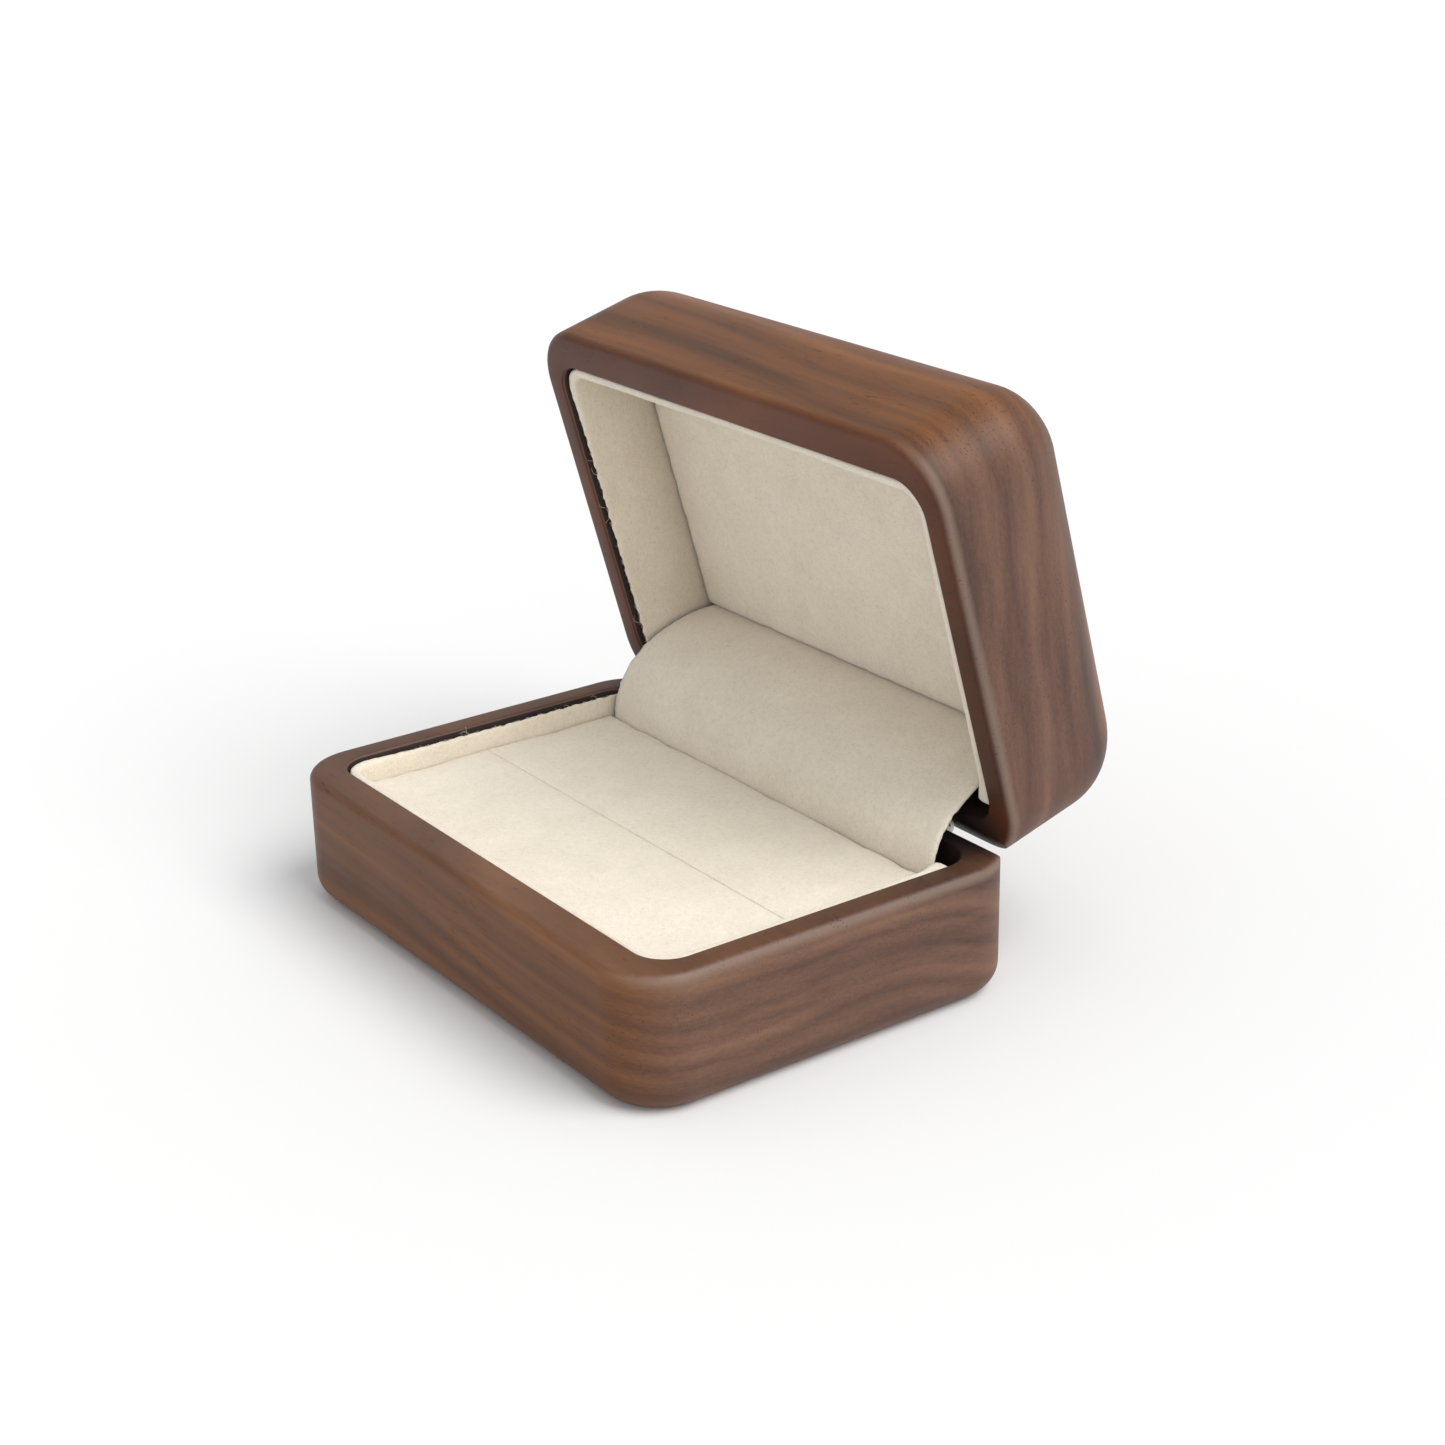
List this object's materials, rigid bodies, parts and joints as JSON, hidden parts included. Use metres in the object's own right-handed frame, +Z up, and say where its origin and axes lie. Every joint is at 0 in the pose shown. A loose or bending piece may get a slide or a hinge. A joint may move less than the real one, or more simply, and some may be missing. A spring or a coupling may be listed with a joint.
{
  "type": "ring box",
  "caption": "Hinged wooden ring box, shown open, with round corners, a suede-lined lid and a slotted cushion that grips a ring.",
  "frame": {"origin": "centre of the base's flat underside, on the surface that the box stands on", "axes": "+X along the hinge, to the right seen from the front; +Y towards the hinge at the back; +Z up. The lid is at rest in its open position"},
  "size_m": [0.075, 0.0692, 0.0681],
  "materials": {
    "walnut_wood": "satin oiled walnut, fine streaks and small dark pores",
    "beige_suede": "matte beige microsuede with a short nap",
    "grey_card": "matte pressed greyboard",
    "plated_steel": "plain plated sheet steel",
    "spring_steel": "blued spring strip",
    "brass_nails": "bright brass nails"
  },
  "bodies": {
    "base": {"base_shell": "walnut_wood", "base_liner_card": "grey_card", "base_liner_fabric": "beige_suede", "cushion_board": "grey_card", "cushion_front": "beige_suede", "cushion_rear": "beige_suede", "hinge_flap_card": "grey_card", "hinge_flap_fabric": "beige_suede", "base_hinge_leaf": "plated_steel", "hinge_pin": "plated_steel", "snap_spring": "spring_steel", "base_hinge_brad_1": "brass_nails", "base_hinge_brad_2": "brass_nails", "base_hinge_brad_3": "brass_nails", "base_hinge_brad_4": "brass_nails", "spring_brad_1": "brass_nails", "spring_brad_2": "brass_nails"},
    "lid": {"lid_shell": "walnut_wood", "lid_liner_card": "grey_card", "lid_liner_fabric": "beige_suede", "lid_panel_card": "grey_card", "lid_panel_pad": "beige_suede", "lid_hinge_leaf": "plated_steel", "lid_hinge_brad_1": "brass_nails", "lid_hinge_brad_2": "brass_nails", "lid_hinge_brad_3": "brass_nails", "lid_hinge_brad_4": "brass_nails"}
  },
  "joints": [
    {"name": "lid_hinge", "type": "hinge", "parent": "base", "child": "lid", "pos_m": [0, 0.0242, 0.0161], "axis": [1, 0, 0], "range_deg": [0, 74.4], "deforming": ["hinge_flap_card", "hinge_flap_fabric"]}
  ]
}
